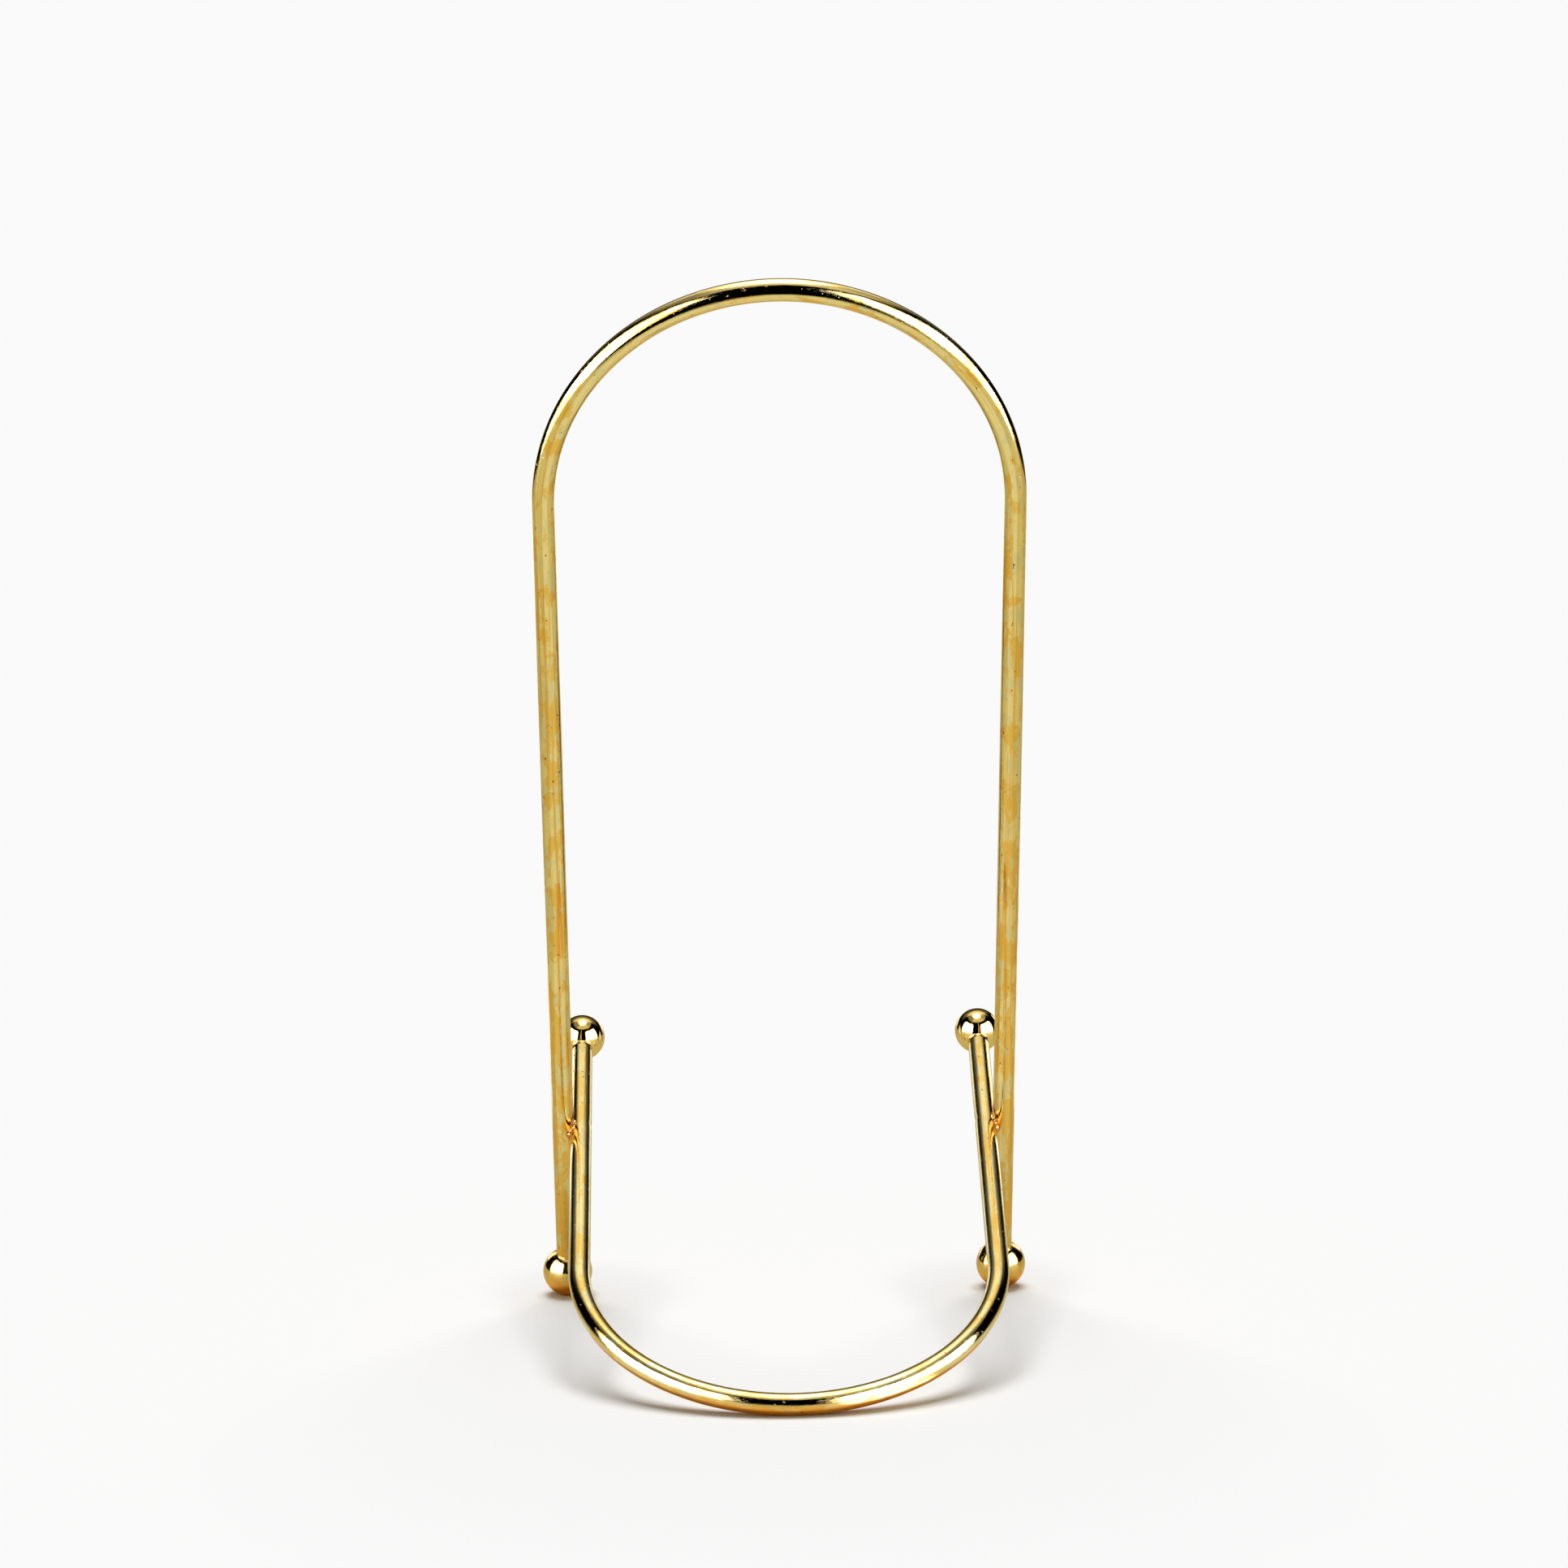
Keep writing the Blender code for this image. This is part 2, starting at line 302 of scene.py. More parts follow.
def build_ball(name, centre, axis, radius, sits, node, material):
    """A polished ball. One that the easel stands on has a small worn flat."""
    along = axis.cross(ACROSS).normalized()
    verts, space, rings = [], [], []
    for i in reversed(range(BALL_RINGS + 1)):
        polar = math.pi * i / BALL_RINGS
        at_pole = i in (0, BALL_RINGS)
        out = 0 if at_pole else radius * math.sin(polar)
        up = radius * math.cos(polar)
        ring = []
        for j in range(1 if at_pole else BALL_SIDES):
            turn = 2 * math.pi * j / BALL_SIDES
            spoke = ACROSS * math.cos(turn) + along * math.sin(turn)
            local = axis * up + spoke * out
            ring.append(len(verts))
            verts.append(centre + local)
            space.append(tuple(local))
        rings.append(ring)
    faces = []
    for low, high in zip(rings, rings[1:]):
        for i in range(BALL_SIDES):
            j = (i + 1) % BALL_SIDES
            if len(low) == 1:
                faces.append((low[0], high[j], high[i]))
            elif len(high) == 1:
                faces.append((low[i], low[j], high[0]))
            else:
                faces.append((low[i], low[j], high[j], high[i]))
    if sits:
        verts = [Vector((v.x, v.y, max(v.z, 0.0))) for v in verts]
    add_piece(name, verts, faces, space, node, material)


def build_collar(name, centre, axis, radius, node, material):
    """The small concave ring of joining metal between a rod and its ball."""
    low = math.sqrt(radius ** 2 - (ROD_R + COLLAR_REACH) ** 2)
    high = math.sqrt(radius ** 2 - ROD_R ** 2) + COLLAR_RISE
    buried = ROD_R - COLLAR_INSET
    profile = [(buried, low - COLLAR_ROOT), (ROD_R + COLLAR_REACH + COLLAR_LIP, low - COLLAR_TUCK)]
    for i in range(COLLAR_STEPS + 1):
        t = i / COLLAR_STEPS
        out = ROD_R + COLLAR_REACH * (1 - math.sin(t * math.pi / 2)) + COLLAR_LIFT
        up = low + (high - low) * (1 - math.cos(t * math.pi / 2))
        profile.append((out, up))
    profile.append((buried, high - COLLAR_CLOSE))
    along = axis.cross(ACROSS).normalized()
    verts, space = [], []
    for ring_radius, height in profile:
        for i in range(COLLAR_SIDES):
            turn = 2 * math.pi * i / COLLAR_SIDES
            around = Vector((math.cos(turn), math.sin(turn), 0)) * RIPPLE_ROUND
            spot = around + Vector((0, 0, RIPPLE_UP * height))
            swell = RIPPLE_HEIGHT * noise.noise(spot) if ring_radius > ROD_R + RIPPLE_FROM else 0
            spoke = ACROSS * math.cos(turn) + along * math.sin(turn)
            local = axis * height + spoke * (ring_radius + swell)
            verts.append(centre + local)
            space.append(tuple(local))
    faces = grid_faces(len(profile), COLLAR_SIDES) + closing_faces(len(profile), COLLAR_SIDES)
    add_piece(name, verts, faces, space, node, material)


def contact_line():
    """The closed line where the two crossing rods meet, about the crossing, with +X inwards."""
    gap = (BACK_SPAN - PROP_SPAN) / 2
    across_back = Vector((0, UP_BACK.z, -UP_BACK.y))
    across_prop = Vector((0, DOWN_PROP.z, -DOWN_PROP.y))
    most = math.sqrt(ROD_R ** 2 - (gap - ROD_R) ** 2)
    points = []
    for i in range(WELD_STEPS):
        turn = 2 * math.pi * i / WELD_STEPS
        a, b = math.cos(turn), math.sin(turn)
        low, high = 0.5, 1.5
        for _ in range(40):
            scale = (low + high) / 2
            inner = math.sqrt(max(ROD_R ** 2 - (scale * most * a) ** 2, 0))
            outer = math.sqrt(max(ROD_R ** 2 - (scale * most * b) ** 2, 0))
            low, high = (scale, high) if inner + outer > gap else (low, scale)
        # Solve for the point whose distances across the two rods are these.
        pa, pb = scale * most * a, scale * most * b
        cross = across_back.y * across_prop.z - across_back.z * across_prop.y
        y = (pa * across_prop.z - pb * across_back.z) / cross
        z = (pb * across_back.y - pa * across_prop.y) / cross
        points.append(Vector((inner, y, z)))
    return points


def build_weld(name, sign, node, material):
    """The lumpy bead of weld metal along the line where two rods meet."""
    line = contact_line()
    start = Vector((sign * BACK_SPAN / 2, CROSS.y, CROSS.z))
    flip = Vector((-sign, 1, 1))
    verts, space = [], []
    for i, point in enumerate(line):
        tangent = (line[(i + 1) % WELD_STEPS] - line[i - 1]).normalized()
        outward = Vector((0, point.y, point.z)).normalized()
        side = tangent.cross(outward).normalized()
        outward = side.cross(tangent).normalized()
        spot = point * 1000 + Vector((WELD_SEED * sign, 0, 0))
        for j in range(WELD_SIDES):
            turn = 2 * math.pi * j / WELD_SIDES
            spoke = outward * math.cos(turn) + side * math.sin(turn)
            fat = WELD_FAT
            for height, fineness, twist in WELD_LUMPS:
                fat += height * noise.noise(spot * fineness + spoke * twist)
            local = (point + spoke * fat) * flip
            verts.append(start + local)
            space.append(tuple(local))
    faces = grid_faces(WELD_STEPS, WELD_SIDES) + closing_faces(WELD_STEPS, WELD_SIDES)
    if sign > 0:
        faces = [tuple(reversed(f)) for f in faces]
    add_piece(name, verts, faces, space, node, material)


# ---------------------------------------------------------------- materials

class Nodes:
    """A short way to write a material's node graph."""

    def __init__(self, name):
        self.material = bpy.data.materials.new(name)
        self.material.use_nodes = True
        self.tree = self.material.node_tree
        self.shader = self.tree.nodes["Principled BSDF"]

    def add(self, kind, **settings):
        """A new node with some of its settings."""
        node = self.tree.nodes.new(kind)
        for key, value in settings.items():
            setattr(node, key, value)
        return node

    def link(self, source, target):
        """Join an output to an input."""
        self.tree.links.new(source, target)

    def space(self, scale, shift=0.0):
        """The surface's own coordinates in millimetres, times a scale on each axis."""
        attribute = self.add("ShaderNodeAttribute", attribute_name="surface_space")
        mapping = self.add("ShaderNodeMapping")
        mapping.inputs["Location"].default_value = [shift] * 3
        mapping.inputs["Scale"].default_value = [1000 * s for s in scale]
        self.link(attribute.outputs["Vector"], mapping.inputs["Vector"])
        return mapping.outputs["Vector"]

    def spread(self, source, low, high):
        """Spread values from low to high over 0 to 1, with soft ends."""
        node = self.add("ShaderNodeMapRange", interpolation_type="SMOOTHSTEP")
        node.inputs["From Min"].default_value = low
        node.inputs["From Max"].default_value = high
        self.link(source, node.inputs["Value"])
        return node.outputs["Result"]

    def noise(self, scale, detail, roughness, low=0.0, high=1.0, shift=0.0):
        """Noise whose values from low to high are spread over 0 to 1."""
        texture = self.add("ShaderNodeTexNoise")
        texture.inputs["Scale"].default_value = 1
        texture.inputs["Detail"].default_value = detail
        texture.inputs["Roughness"].default_value = roughness
        self.link(self.space(scale, shift), texture.inputs["Vector"])
        return self.spread(texture.outputs["Fac"], low, high)

    def ramp(self, source, low, high, reach=1.0):
        """Turn values from 0 to reach into values from low to high."""
        node = self.add("ShaderNodeMapRange")
        node.inputs["From Max"].default_value = reach
        node.inputs["To Min"].default_value = low
        node.inputs["To Max"].default_value = high
        self.link(source, node.inputs["Value"])
        return node.outputs["Result"]

    def maths(self, operation, a, b=None):
        """One maths operation on an output and another output or a plain number."""
        node = self.add("ShaderNodeMath", operation=operation)
        self.link(a, node.inputs[0])
        if isinstance(b, float):
            node.inputs[1].default_value = b
        elif b:
            self.link(b, node.inputs[1])
        return node.outputs[0]

    def fold(self, length):
        """Distance from a rod's nearer end, and how far to the hoop's outside, in millimetres."""
        split = self.add("ShaderNodeSeparateXYZ")
        self.link(self.space((1, 1, 1)), split.inputs[0])
        return self.maths("PINGPONG", split.outputs["X"], 1000 * length / 2), split.outputs["Y"]

    def end_share(self, length, most):
        """A share from -most/2 in a rod's middle to most/2 at its ends."""
        return self.ramp(self.fold(length)[0], most / 2, -most / 2, 1000 * length / 2)

    def rod_reflection_share(self, length, at, side):
        """1 beside the crossing at a distance along both legs, on the outer (1) or inner (-1) side: the
        mask of the other rod's painted reflection.
        """
        distance, outward = self.fold(length)
        off = self.maths("ABSOLUTE", self.maths("SUBTRACT", distance, 1000 * at))
        near = self.spread(off, 1000 * ROD_REFLECTION_REACH, 1000 * ROD_REFLECTION_REACH / 4)
        facing = self.spread(outward, 0.0, 1000 * ROD_R * side)
        return self.maths("MULTIPLY", near, facing)

    def mix(self, factor, a, b):
        """Blend from a to b. Each is a plain tone or an output."""
        node = self.add("ShaderNodeMix", data_type="RGBA")
        self.link(factor, node.inputs["Factor"])
        for socket, value in (("A", a), ("B", b)):
            target = [s for s in node.inputs if s.name == socket and s.type == "RGBA"][0]
            if isinstance(value, tuple):
                target.default_value = (*value, 1)
            else:
                self.link(value, target)
        return [s for s in node.outputs if s.type == "RGBA"][0]

    def bump(self, height, distance, after=None):
        """A bumped normal, on top of another one if there is one."""
        node = self.add("ShaderNodeBump")
        node.inputs["Distance"].default_value = distance
        node.inputs["Strength"].default_value = 1.0
        self.link(height, node.inputs["Height"])
        if after:
            self.link(after, node.inputs["Normal"])
        return node.outputs["Normal"]

    def finish(self, tone, roughness, normal):
        """Polished metal of this tone, roughness and normal."""
        self.shader.inputs["Metallic"].default_value = 1
        self.link(tone, self.shader.inputs["Base Color"])
        self.link(roughness, self.shader.inputs["Roughness"])
        self.link(normal, self.shader.inputs["Normal"])
        return self.material


def rod_gold(name, tones, length, crossing, side, fade):
    """Gold plate on polished rod: patches of three tones, scratches along the rod, small pits.

    The deep tone spreads towards the rod's two ends by the fade, on the back hoop a painted
    reflection of the nearer table low on its legs, and beside the crossing a painted reflection of the
    other rod makes the metal darker.
    """
    bright, deep, olive = tones
    n = Nodes(name)
    share = n.noise((0.09, 0.22, 0.22), 6, 0.64)
    # Deep tone towards the rod's ends by the fade; on the back hoop this is a painted reflection of the
    # nearer table.
    share = n.maths("ADD", share, n.end_share(length, fade))
    tone = n.mix(n.spread(share, 0.47, 0.53), bright, deep)
    cloudy = n.noise((0.13, 0.30, 0.30), 6, 0.66, 0.53, 0.57, shift=40)
    tone = n.mix(cloudy, tone, olive)
    streaks = n.noise((0.02, 1.1, 1.1), 4, 0.65, 0.50, 0.66)
    tone = n.mix(streaks, tone, tuple(c * d for c, d in zip(deep, STREAK_SHADE)))
    pits = n.noise((0.7, 1.1, 1.1), 1, 0.5, 0.72, 0.77)
    tone = n.mix(pits, tone, PIT_TONE)
    # Painted reflection of the other rod: an orange-brown tint beside the crossing.
    tone = n.mix(n.rod_reflection_share(length, crossing, side), tone, ROD_REFLECTION_TONE)
    hairlines = n.noise((0.02, 1.5, 1.5), 5, 0.7, 0.25, 0.75)
    normal = n.bump(hairlines, 0.000017)
    normal = n.bump(cloudy, 0.000003, after=normal)
    normal = n.bump(pits, -0.00003, after=normal)
    return n.finish(tone, n.ramp(hairlines, ROD_ROUGHNESS, ROD_ROUGHNESS + HAZE), normal)


def ball_gold(name, tones, roughness):
    """Gold plate on a mirror-polished ball, with the faintest polishing haze."""
    n = Nodes(name)
    tone = n.mix(n.noise((0.30, 0.30, 0.30), 2, 0.5, 0.42, 0.62), *tones)
    haze = n.noise((2.0, 2.0, 2.0), 3, 0.6, 0.45, 0.75)
    return n.finish(tone, n.ramp(haze, roughness, roughness + HAZE), n.bump(haze, 0.000001))


def joint_gold(name, tones):
    """Plated weld metal: a deeper gold in patches, with small lumps."""
    n = Nodes(name)
    tone = n.mix(n.noise((0.9, 0.9, 0.9), 3, 0.6, 0.40, 0.62), *tones)
    lumps = n.noise((1.6, 1.6, 1.6), 2, 0.5, 0.3, 0.7)
    return n.finish(tone, n.ramp(lumps, 0.08, 0.20), n.bump(lumps, 0.00002))


# ---------------------------------------------------------------- the easel

def build_easel():
    """The two rods, the four balls, and the joining metal at balls and crossings."""
    back_leg = BACK_LEG - BACK_START
    prop_leg = PRONG_LENGTH + PROP_LEG - PROP_START
    back_crossing = CROSS_HEIGHT - BACK_START
    prop_crossing = PRONG_LENGTH - PROP_START
    back_length = 2 * back_leg + math.pi * BACK_SPAN / 2
    prop_length = 2 * prop_leg + math.pi * PROP_SPAN / 2
    back = rod_gold("back_hoop_gold", BACK_TONES, back_length, back_crossing, -1, BACK_LOW_REFLECTION)
    prop = rod_gold("prop_hoop_gold", PROP_TONES, prop_length, prop_crossing, 1, 0.0)
    foot = ball_gold("foot_ball_gold", FOOT_TONES, FOOT_ROUGHNESS)
    prong = ball_gold("prong_ball_gold", PRONG_TONES, PRONG_ROUGHNESS)
    joint = joint_gold("joint_gold", JOINT_TONES)

    line = hoop_line(FOOT + UP_BACK * BACK_START, UP_BACK, back_leg, BACK_SPAN / 2)
    build_rod("back_hoop_rod", line, UP_BACK.cross(ACROSS), [], BACK_WAVE_SEED,
              "back_hoop", back)
    line = hoop_line(PRONG + DOWN_PROP * PROP_START, DOWN_PROP, prop_leg, PROP_SPAN / 2)
    at = prop_crossing - MARK_RISE
    marks = [at, line[2][-1] - at]
    build_rod("prop_hoop_rod", line, DOWN_PROP.cross(ACROSS), marks, PROP_WAVE_SEED,
              "prop_hoop", prop)

    for side, sign in SIDES.items():
        foot_at = Vector((sign * FOOT.x, FOOT.y, FOOT.z))
        prong_at = Vector((sign * PRONG.x, PRONG.y, PRONG.z))
        build_ball(side + "_foot_ball_polished", foot_at, UP_BACK, FOOT_R, True,
                   side + "_foot_ball", foot)
        build_ball(side + "_prong_ball_polished", prong_at, DOWN_PROP, PRONG_R, False,
                   side + "_prong_ball", prong)
        build_collar(side + "_foot_collar", foot_at, UP_BACK, FOOT_R,
                     side + "_foot_fillet", foot)
        build_collar(side + "_prong_collar", prong_at, DOWN_PROP, PRONG_R,
                     side + "_prong_fillet", prong)
        build_weld(side + "_weld_bead", sign, side + "_cross_weld", joint)


# ---------------------------------------------------------------- the studio

def direction(azimuth, elevation):
    """Unit vector: azimuth 0 points to the camera's side (-Y), 90 to +X."""
    a, e = math.radians(azimuth), math.radians(elevation)
    return Vector((math.sin(a) * math.cos(e), -math.cos(a) * math.cos(e), math.sin(e)))


def smooth(low, high, value):
    """0 below low, 1 above high, and a smooth step between."""
    t = min(max((value - low) / (high - low), 0.0), 1.0)
    return t * t * (3 - 2 * t)


def window(value, low, high, edge):
    """1 between low and high, falling to 0 over edge outside them."""
    return smooth(low - edge, low, value) * (1 - smooth(high, high + edge, value))


def add_stage(name, verts, faces, material, *seen_by):
    """Link a mesh of the studio that only some kinds of ray see."""
    mesh = bpy.data.meshes.new(name)
    mesh.from_pydata([tuple(v) for v in verts], [], faces)
    mesh.materials.append(material)
    obj = bpy.data.objects.new(name, mesh)
    bpy.context.scene.collection.objects.link(obj)
    for kind in ("camera", "diffuse", "glossy", "transmission", "volume_scatter", "shadow"):
        setattr(obj, "visible_" + kind, kind in seen_by)
    return obj


def paint(obj, name, values):
    """Store one number or one RGBA colour for each point of a mesh."""
    colours = len(np.shape(values)) > 1
    attribute = obj.data.attributes.new(name, "FLOAT_COLOR" if colours else "FLOAT", "POINT")
    attribute.data.foreach_set("color" if colours else "value", np.asarray(values, np.float32).ravel())


def emitter(name, strength):
    """A material that only gives off white light."""
    material = bpy.data.materials.new(name)
    material.use_nodes = True
    tree = material.node_tree
    tree.nodes.remove(tree.nodes["Principled BSDF"])
    emission = tree.nodes.new("ShaderNodeEmission")
    emission.inputs["Color"].default_value = (1, 1, 1, 1)
    emission.inputs["Strength"].default_value = strength
    tree.links.new(emission.outputs[0], tree.nodes["Material Output"].inputs["Surface"])
    return material


def pale_surface(name, tone, roughness, specular):
    """A plain surface of one tone."""
    material = bpy.data.materials.new(name)
    material.use_nodes = True
    shader = material.node_tree.nodes["Principled BSDF"]
    shader.inputs["Base Color"].default_value = (*tone, 1)
    shader.inputs["Roughness"].default_value = roughness
    shader.inputs["Specular IOR Level"].default_value = specular
    return material


def read_point(tree, name):
    """Node that reads a painted value."""
    node = tree.nodes.new("ShaderNodeAttribute")
    node.attribute_name = name
    return node


def path_fade(tree, output, near, far, most, least):
    """The most while a ray's depth or length is below near, falling to the least at far."""
    path = tree.nodes.new("ShaderNodeLightPath")
    fade = tree.nodes.new("ShaderNodeMapRange")
    fade.inputs["From Min"].default_value = near
    fade.inputs["From Max"].default_value = far
    fade.inputs["To Min"].default_value = most
    fade.inputs["To Max"].default_value = least
    tree.links.new(path.outputs[output], fade.inputs["Value"])
    return fade.outputs["Result"]


def softbox(azimuth, elevation, box):
    """1 inside an upright window with square top corners and a round bottom, and a soft rim."""
    middle, height, half_width, rise, drop = box
    across = abs(azimuth - middle) / half_width
    above = elevation - height
    power, reach = (SQUARE_END, rise) if above > 0 else (ROUND_END, drop)
    off = (across ** power + abs(above / reach) ** power) ** (1 / power)
    return 1 - smooth(0.92, 1.05, off)


def shell_light(azimuth, elevation):
    """What polished metal sees in a direction: softboxes, overhead light, lit backdrop, dark room."""
    d = direction(azimuth, elevation)
    facing_back = d.y / max(math.hypot(d.x, d.y), 0.001)
    total = Vector((0.001, 0.001, 0.001))

    # Two tall softboxes in front, on either side of the camera.
    boxes = max(softbox(azimuth, elevation, RIGHT_SOFTBOX), softbox(azimuth, elevation, LEFT_SOFTBOX))
    total += Vector((1, 1, 1)) * SOFTBOX_LIGHT * boxes

    # Round hot core of the overhead light, and the dimmer cloth round it.
    along = math.degrees(math.atan2(d.y, d.z)) - CORE_TILT
    across = math.degrees(math.asin(d.x))
    core = 1 - smooth(0.6, 1.4, math.hypot(along / CORE_HALF_DEPTH, across / CORE_HALF_WIDTH))
    total += CORE_TONE * CORE_LIGHT * core
    near_camera = window(azimuth, -35, 60, 30)
    far_left = window(azimuth, -150, -45, 20)
    front_cloth = FRONT_CLOTH - LEFT_CLOTH_LESS * far_left + CAMERA_CLOTH_MORE * near_camera
    front_cloth *= smooth(52, 58, elevation)
    back_cloth = LOW_BACK_CLOTH * smooth(20, 36, elevation) + HIGH_BACK_CLOTH * smooth(40, 53, elevation)
    cloth = front_cloth + (back_cloth - front_cloth) * smooth(0.45, 0.85, facing_back)
    total += CLOTH_TONE * cloth * (1 - core)

    # The bright foot of the backdrop.
    foot = smooth(0.72, 0.90, facing_back) * (1 - smooth(2, 12, elevation)) * smooth(-40, -25, elevation)
    total += BACKDROP_TONE * BACKDROP_LIGHT * foot
    return total


def build_shell():
    """The dark room and its lights, as a closed shell that only polished surfaces see."""
    verts, glow = [], []
    for i in range(SHELL_ROWS + 1):
        elevation = -90 + 180 * i / SHELL_ROWS
        for j in range(SHELL_COLUMNS):
            azimuth = -180 + 360 * j / SHELL_COLUMNS
            verts.append(SHELL_MIDDLE + SHELL_RADIUS * direction(azimuth, elevation))
            glow.append((*shell_light(azimuth, elevation), 1))
    material = emitter("room_light", 1.0)
    material.cycles.emission_sampling = "NONE"
    tree = material.node_tree
    emission = tree.nodes["Emission"]
    tree.links.new(read_point(tree, "glow").outputs["Color"], emission.inputs["Color"])
    fade = path_fade(tree, "Ray Depth", 1, 2, 1, SECOND_REFLECTION)
    tree.links.new(fade, emission.inputs["Strength"])
    shell = add_stage("room_shell", verts, grid_faces(SHELL_ROWS + 1, SHELL_COLUMNS), material, "glossy")
    paint(shell, "glow", glow)


def outside_arc(x, y):
    """How far a point of the table lies outside the curve under the prop's closed end, in metres."""
    return (math.hypot(x / ARC_HALF_WIDTH, (y - ARC_Y) / ARC_HALF_DEPTH) - 1) * ARC_RADIUS


def table_tone(x, y):
    """The table's colour: pale in front of the easel, warm beyond, gold close round its footprint as
    painted bounce light and shade.
    """
    front = window(x, -0.12, 0.12, 0.05) * window(y, -0.50, 0.0, 0.03)
    tone = TABLE_WARM.lerp(TABLE_PALE, front)
    # Painted bounce light and shade from the gold, close round the prop's closed end and the feet.
    arc = abs(outside_arc(x, y)) if y - ARC_Y < 0.2 * ARC_HALF_DEPTH else 1.0
    foot = math.hypot(abs(x) - FOOT.x, y - FOOT.y)
    share = math.exp(-(arc / ARC_BOUNCE_WIDTH) ** 2) + math.exp(-(foot / FOOT_BOUNCE_WIDTH) ** 2)
    return tone.lerp(TABLE_PAINTED_BOUNCE, min(share, 1.0))


def table_glare(x, y):
    """The right softbox mirrored in the table just in front of the prop's closed end."""
    around = math.degrees(math.atan2(x, ARC_Y - y))
    out = 1000 * outside_arc(x, y)
    return GLARE_LIGHT * window(around, 20, 44, 8) * smooth(4.5, 9, out) * (1 - smooth(22, 40, out))


def build_table():
    """The warm glossy table that the gold mirrors, and a finely coloured patch of it by the easel, with
    the painted bounce light and shade.
    """
    verts = [Vector((x, y, TABLE_Z)) for x, y in TABLE_OUTLINE]
    gloss = pale_surface("table_gloss", TABLE_WARM, 0.3, TABLE_SPECULAR)
    add_stage("table", verts, [tuple(range(len(verts)))], gloss, "glossy", "diffuse")

    verts, tones, glares = [], [], []
    for i in range(PATCH_RINGS + 1):
        radius = PATCH_REACH * (i / PATCH_RINGS) ** PATCH_CROWDING
        for j in range(PATCH_COLUMNS):
            turn = 2 * math.pi * j / PATCH_COLUMNS
            x, y = radius * math.cos(turn), radius * math.sin(turn) + PATCH_Y
            verts.append((x, y, PATCH_Z))
            tones.append((*table_tone(x, y), 1))
            glares.append(table_glare(x, y))
    material = pale_surface("table_patch", TABLE_WARM, 0.4, TABLE_SPECULAR)
    material.cycles.emission_sampling = "NONE"
    tree = material.node_tree
    shader = tree.nodes["Principled BSDF"]
    shader.inputs["Emission Color"].default_value = (1, 1, 1, 1)
    tree.links.new(read_point(tree, "tone").outputs["Color"], shader.inputs["Base Color"])
    faded = tree.nodes.new("ShaderNodeMath")
    faded.operation = "MULTIPLY"
    tree.links.new(read_point(tree, "glare").outputs["Fac"], faded.inputs[0])
    tree.links.new(path_fade(tree, "Ray Length", *GLARE_SEEN, 1, 0), faded.inputs[1])
    tree.links.new(faded.outputs[0], shader.inputs["Emission Strength"])
    faces = grid_faces(PATCH_RINGS + 1, PATCH_COLUMNS)
    patch = add_stage("table_patch", verts, faces, material, "glossy", "diffuse")
    paint(patch, "tone", tones)
    paint(patch, "glare", glares)


def build_side_panels():
    """White panels that only nearby metal mirrors, each with a dark strip above its sloping top."""
    light = emitter("panel_light", PANEL_LIGHT)
    light.cycles.emission_sampling = "NONE"
    tree = light.node_tree
    fade = path_fade(tree, "Ray Length", *PANEL_SEEN, PANEL_LIGHT, 0)
    tree.links.new(fade, tree.nodes["Emission"].inputs["Strength"])
    dark = emitter("panel_strip", STRIP_LIGHT)
    ends = (PANEL_TOP[0], PANEL_TOP[-1])
    for side, sign in SIDES.items():
        at = sign * PANEL_X
        top = [(at, y, z) for y, z in PANEL_TOP]
        panel = [(at, y, PANEL_FOOT_Z) for y, z in ends] + top[::-1]
        strip = top + [(x, y, z + STRIP_HEIGHT) for x, y, z in reversed(top)]
        for name, outline, material in (("panel", panel, light), ("strip", strip, dark)):
            add_stage(side + "_" + name, outline, [tuple(range(len(outline)))], material, "glossy")


def build_surroundings():
    """The pale floor and the closed white sweep round it, which only the camera sees."""
    turns = [2 * math.pi * i / STAGE_SIDES for i in range(STAGE_SIDES)]
    rim = [Vector((math.cos(turn), math.sin(turn), 0)) * STAGE_REACH for turn in turns]
    pale = pale_surface("pale_floor", FLOOR_TONE, 0.9, 0.0)
    add_stage("floor", rim, [tuple(range(STAGE_SIDES))], pale, "camera")
    verts = [p + Vector((0, 0, height)) for height in (SWEEP_FOOT_Z, STAGE_REACH) for p in rim]
    verts += [Vector((0, 0, STAGE_REACH))] * STAGE_SIDES
    add_stage("sweep", verts, grid_faces(3, STAGE_SIDES), emitter("sweep_light", SWEEP_LIGHT), "camera")


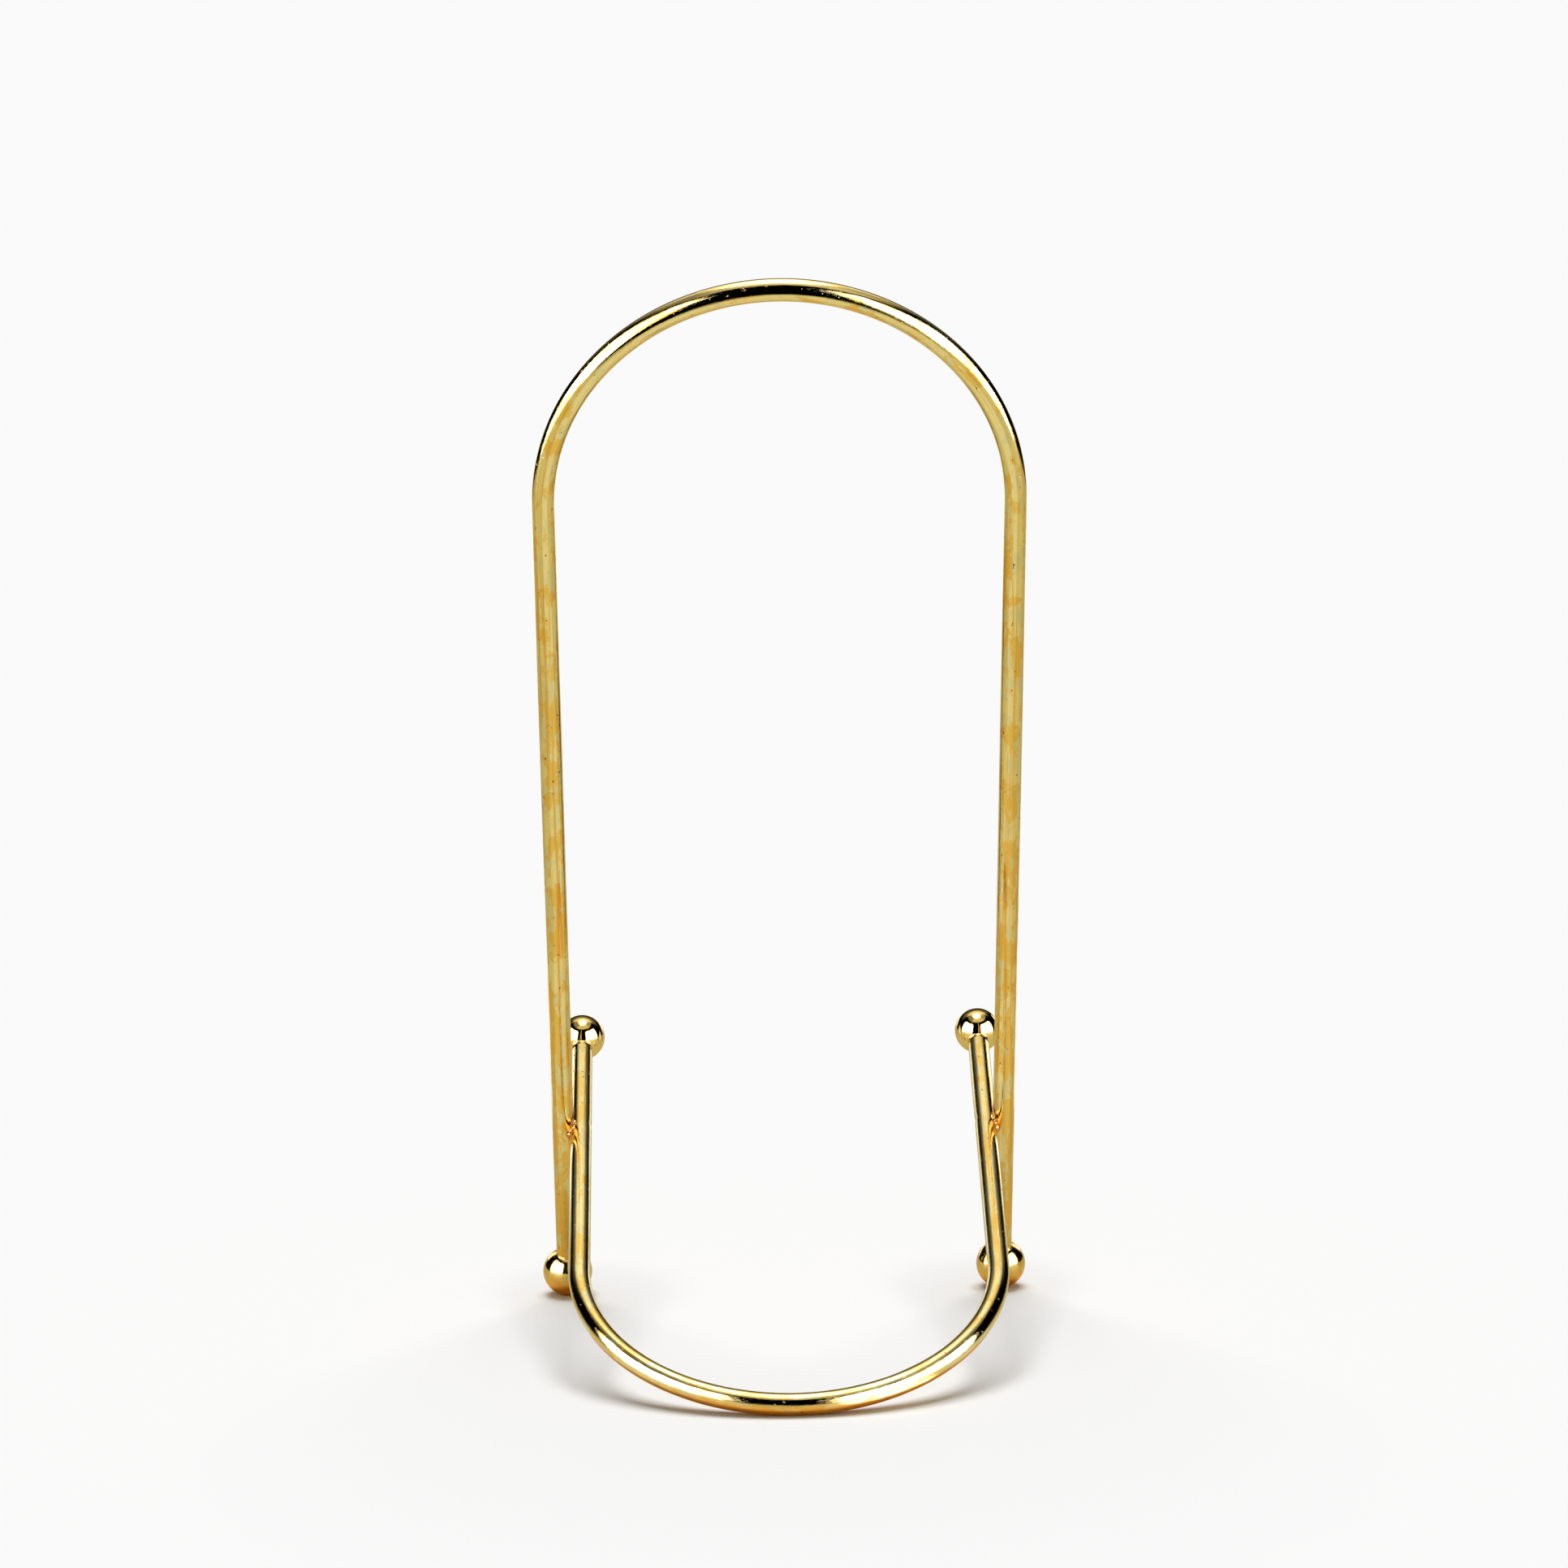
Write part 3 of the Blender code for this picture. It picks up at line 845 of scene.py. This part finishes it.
def build_lights():
    """A round soft light overhead, a little beyond the easel, and an even light from all round."""
    data = bpy.data.lights.new("overhead", "SUN")
    data.energy = OVERHEAD_LIGHT
    data.angle = math.radians(OVERHEAD_SPREAD)
    sun = bpy.data.objects.new("overhead", data)
    sun.rotation_mode = "QUATERNION"
    sun.rotation_quaternion = direction(180, 78).to_track_quat("Z", "Y")
    sun.visible_glossy = False
    bpy.context.scene.collection.objects.link(sun)

    world = bpy.data.worlds.new("studio")
    world.use_nodes = True
    world.node_tree.nodes["Background"].inputs["Color"].default_value = (1, 1, 1, 1)
    world.node_tree.nodes["Background"].inputs["Strength"].default_value = WORLD_LIGHT
    bpy.context.scene.world = world
    world.cycles_visibility.glossy = False


def build_camera():
    """The photo's camera: a long lens a little above the easel."""
    data = bpy.data.cameras.new("camera")
    data.lens = CAMERA_LENS
    data.sensor_width = CAMERA_SENSOR
    data.clip_start, data.clip_end = 0.05, 200
    camera = bpy.data.objects.new("camera", data)
    bpy.context.scene.collection.objects.link(camera)
    yaw, elevation = math.radians(CAMERA_YAW), math.radians(CAMERA_ELEVATION)
    forward = Vector((math.sin(yaw) * math.cos(elevation), math.cos(yaw) * math.cos(elevation),
                      -math.sin(elevation)))
    right = Vector((math.cos(yaw), -math.sin(yaw), 0))
    up = right.cross(forward)
    turn = Matrix((right, up, -forward)).transposed()
    roll = Matrix.Rotation(math.radians(CAMERA_ROLL), 3, "Z")
    camera.rotation_mode = "QUATERNION"
    camera.rotation_quaternion = (turn @ roll).to_quaternion()
    camera.location = CAMERA_TARGET - forward * CAMERA_DISTANCE
    bpy.context.scene.camera = camera


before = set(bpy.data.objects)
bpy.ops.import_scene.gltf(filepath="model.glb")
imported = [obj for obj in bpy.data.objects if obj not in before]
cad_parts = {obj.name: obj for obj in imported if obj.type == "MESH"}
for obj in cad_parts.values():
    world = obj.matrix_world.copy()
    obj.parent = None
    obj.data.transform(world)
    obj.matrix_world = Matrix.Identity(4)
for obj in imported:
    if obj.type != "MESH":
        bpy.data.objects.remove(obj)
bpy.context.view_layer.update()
build_easel()
build_surroundings()
build_table()
build_shell()
build_side_panels()
build_lights()
build_camera()
bpy.context.scene.view_settings.view_transform = "Standard"
